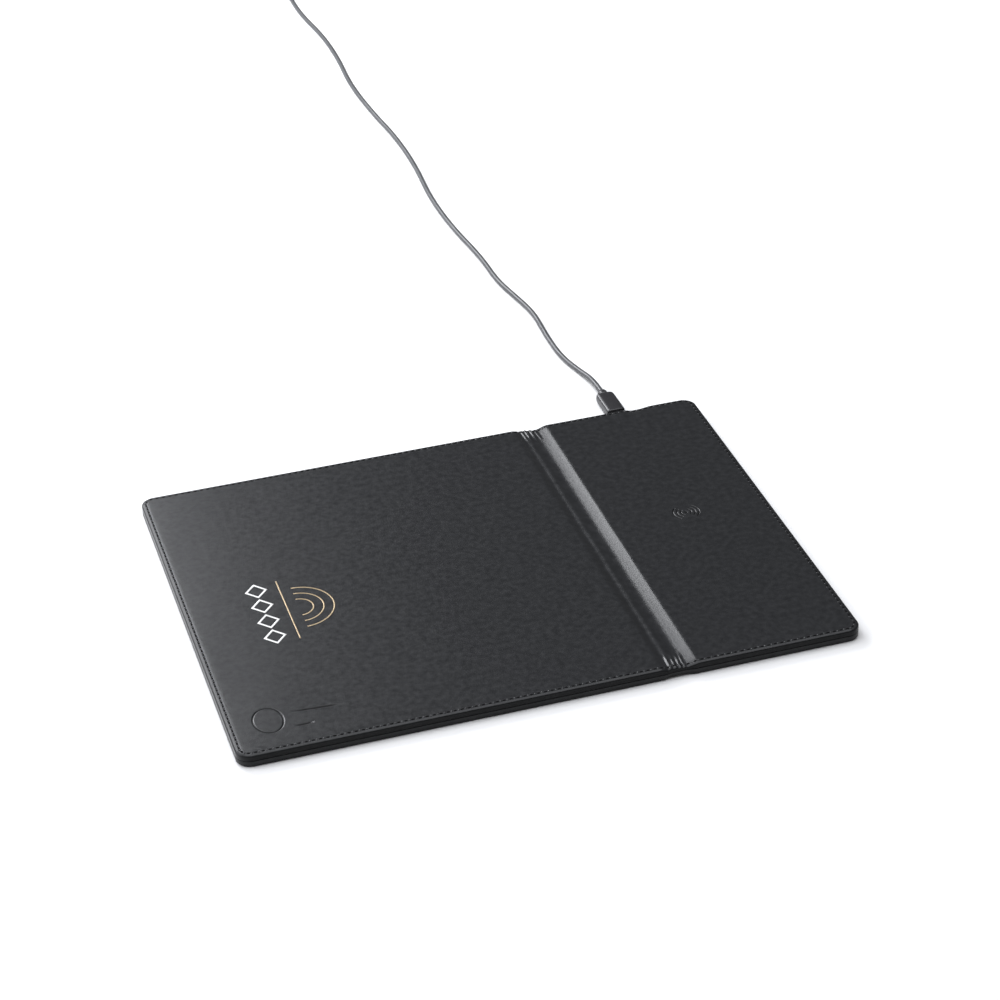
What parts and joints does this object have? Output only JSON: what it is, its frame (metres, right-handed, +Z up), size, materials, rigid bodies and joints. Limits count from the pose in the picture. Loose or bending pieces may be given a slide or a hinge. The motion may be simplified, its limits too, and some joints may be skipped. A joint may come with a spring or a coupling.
{
  "type": "wireless charging pad",
  "caption": "Folding stitched leather mouse pad with a narrow wireless charging panel and a USB cable in its back edge.",
  "frame": {"origin": "middle of the pad's underside, on the desk, without the cable", "axes": "+X along the long side from the mouse panel to the charging panel, +Y to the back edge with the cable, +Z up"},
  "size_m": [0.3185, 0.9273, 0.008],
  "materials": {
    "cover_leather": "smooth matte",
    "base_leather": "smooth matte",
    "thread": "twisted polyester",
    "foam": "fine cell",
    "stiffener_board": "pressed greyboard",
    "tray_plastic": "moulded",
    "ferrite": "sintered",
    "adhesive": "film",
    "copper_wire": "enamelled litz",
    "sensor_resin": "dipped",
    "board_laminate": "solder mask",
    "chip_resin": "moulded",
    "capacitor_body": "fired",
    "contact_steel": "plated",
    "contact_plastic": "moulded",
    "plug_plastic": "moulded",
    "cord_jacket": "satin",
    "tie_plastic": "moulded",
    "usb_a_plastic": "moulded"
  },
  "bodies": {
    "charger_panel": {"charger_top_cover": "cover_leather", "charger_bottom_cover": "base_leather", "charger_foam": "foam", "charger_lid": "tray_plastic", "charger_tray": "tray_plastic", "charger_stitching": "thread", "ferrite_sheet": "ferrite", "coil_adhesive": "adhesive", "transmit_coil": "copper_wire", "temperature_sensor": "sensor_resin", "coil_leads": "copper_wire", "circuit_board": "board_laminate", "controller_chip": "chip_resin", "power_transistors": "chip_resin", "resonant_capacitors": "capacitor_body", "filter_inductor": "chip_resin", "usb_socket_shell": "contact_steel", "usb_socket_tongue": "contact_plastic"},
    "fold_strip": {"fold_strip_top": "cover_leather", "fold_strip_bottom": "base_leather"},
    "mouse_panel": {"mouse_top_cover": "cover_leather", "mouse_bottom_cover": "base_leather", "mouse_foam": "foam", "mouse_board": "stiffener_board", "mouse_stitching": "thread"},
    "cable": {"plug_shell": "contact_steel", "plug_contact_block": "contact_plastic", "plug_overmould": "plug_plastic", "plug_strain_relief": "plug_plastic", "cord": "cord_jacket", "cord_coil": "cord_jacket", "cord_tail": "cord_jacket", "cable_tie": "tie_plastic", "usb_a_strain_relief": "plug_plastic", "usb_a_overmould": "plug_plastic", "usb_a_shell": "contact_steel", "usb_a_insert": "usb_a_plastic"}
  },
  "joints": [
    {"name": "fold_at_charger", "type": "hinge", "parent": "charger_panel", "child": "fold_strip", "pos_m": [0.0631, 0, 0.0032], "axis": [0, 1, 0], "range_deg": [0, 90]},
    {"name": "fold_at_mouse", "type": "hinge", "parent": "fold_strip", "child": "mouse_panel", "pos_m": [0.0561, 0, 0.0032], "axis": [0, 1, 0], "range_deg": [0, 90]},
    {"name": "cable_pull", "type": "slide", "parent": "charger_panel", "child": "cable", "axis": [0, 1, 0], "range_m": [0, 0.008]}
  ]
}
